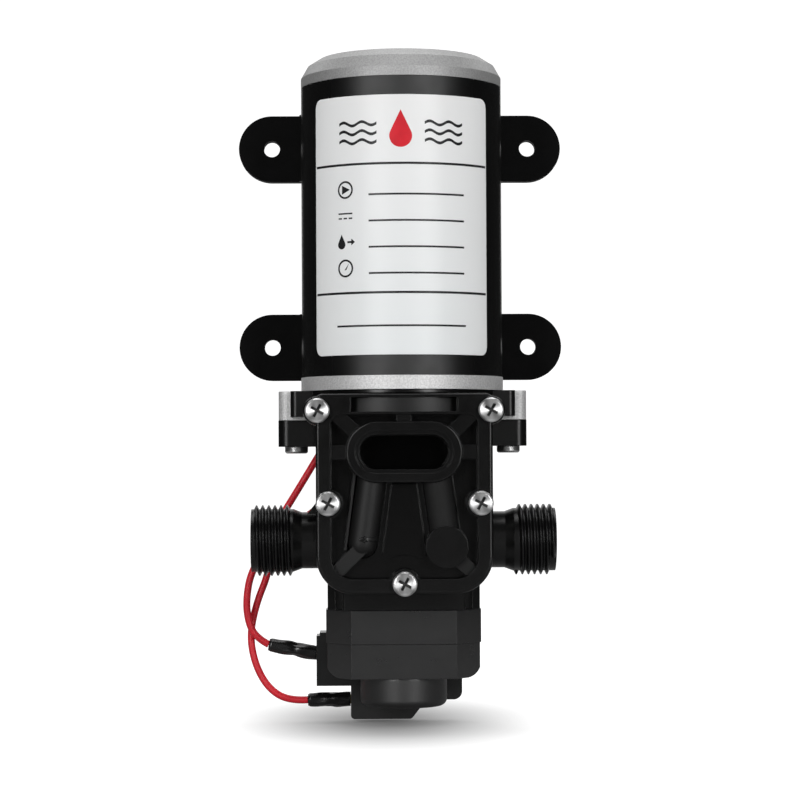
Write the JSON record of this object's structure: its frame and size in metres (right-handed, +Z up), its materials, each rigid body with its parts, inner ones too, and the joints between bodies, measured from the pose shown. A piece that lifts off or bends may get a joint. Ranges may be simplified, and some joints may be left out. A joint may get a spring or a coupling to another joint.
{
  "type": "water pressure pump",
  "caption": "Small DC diaphragm water pump: motor with footed sleeve, ribbed head, two threaded side ports, pressure switch below",
  "frame": {"origin": "centre of the four foot holes, on the flat back of the feet", "axes": "+Z up the motor's axis, +X to the right of the pump's face, +Y into the wall it is screwed to"},
  "size_m": [0.0998, 0.0643, 0.1984],
  "materials": {
    "zinc_plate": "zinc-plated steel, satin",
    "bright_steel": "bright machined steel",
    "spring_steel": "drawn spring wire",
    "cast_aluminium": "fine matt cast aluminium",
    "black_rubber": "moulded black rubber, satin",
    "valve_rubber": "soft black rubber",
    "black_nylon": "glass-filled black nylon, satin",
    "switch_plastic": "fine-grained dark plastic",
    "black_gloss": "smooth black plastic",
    "white_plastic": "natural acetal",
    "label_foil": "silver-white printed film",
    "ferrite": "ground ferrite",
    "bronze": "sintered bronze",
    "copper": "copper",
    "brass_tab": "rolled brass",
    "board": "brown phenolic board",
    "carbon": "pressed carbon",
    "heat_shrink": "wrinkled heat-shrink tube",
    "red_insulation": "red wire insulation"
  },
  "bodies": {
    "casing": {"motor_can": "zinc_plate", "motor_sleeve": "black_rubber", "rating_label": "label_foil", "rear_cap": "cast_aluminium", "front_bell": "cast_aluminium", "wire_grommet": "black_rubber", "field_magnets": "ferrite", "rear_bush": "bronze", "brush_card": "board", "carbon_brushes": "carbon", "brush_springs": "spring_steel", "front_bearing_outer_race": "bright_steel", "pump_housing": "black_nylon", "diaphragm": "black_rubber", "valve_plate": "white_plastic", "inlet_valves": "valve_rubber", "outlet_valves": "valve_rubber", "head_gasket": "valve_rubber", "pump_cover": "black_nylon", "cover_screws": "bright_steel", "lug_screws": "zinc_plate", "switch_upper_body": "switch_plastic", "switch_lower_body": "switch_plastic", "switch_screws": "zinc_plate", "switch_diaphragm": "valve_rubber", "switch_spring": "spring_steel", "switch_cap": "switch_plastic", "adjusting_screw": "bright_steel", "microswitch_case": "black_gloss", "button_spring": "spring_steel", "switch_terminals": "brass_tab", "microswitch_screws": "bright_steel", "upper_crimp_sleeve": "heat_shrink", "lower_crimp_sleeve": "heat_shrink", "upper_wire": "red_insulation", "lower_wire": "red_insulation"},
    "rotor": {"armature_shaft": "bright_steel", "armature_core": "zinc_plate", "armature_windings": "copper", "commutator": "copper", "front_bearing_inner_race": "bright_steel", "front_bearing_balls": "bright_steel", "eccentric": "cast_aluminium", "eccentric_set_screw": "bright_steel", "drive_bearing_outer_race": "bright_steel", "drive_bearing_inner_race": "bright_steel", "drive_bearing_balls": "bright_steel"},
    "yoke_set": {"yoke": "white_plastic", "pistons": "white_plastic", "piston_screws": "bright_steel"},
    "plunger": {"switch_plunger": "white_plastic"},
    "button": {"switch_button": "white_plastic"}
  },
  "joints": [
    {"name": "rotor_spin", "type": "hinge", "parent": "casing", "child": "rotor", "pos_m": [0, -0.031, 0], "axis": [0, 0, 1], "continuous": true},
    {"name": "yoke_stroke", "type": "slide", "parent": "casing", "child": "yoke_set", "axis": [0, -1, 0], "range_m": [-0.0008, 0.0008]},
    {"name": "plunger_slide", "type": "slide", "parent": "casing", "child": "plunger", "axis": [0, 0, -1], "range_m": [0, 0.001], "deforming": ["switch_spring"]},
    {"name": "button_press", "type": "slide", "parent": "casing", "child": "button", "axis": [0, 0, -1], "range_m": [0, 0.001], "deforming": ["button_spring"]}
  ],
  "couplings": [
    {"joint": "button_press", "follows": "plunger_slide", "ratio": 1}
  ]
}
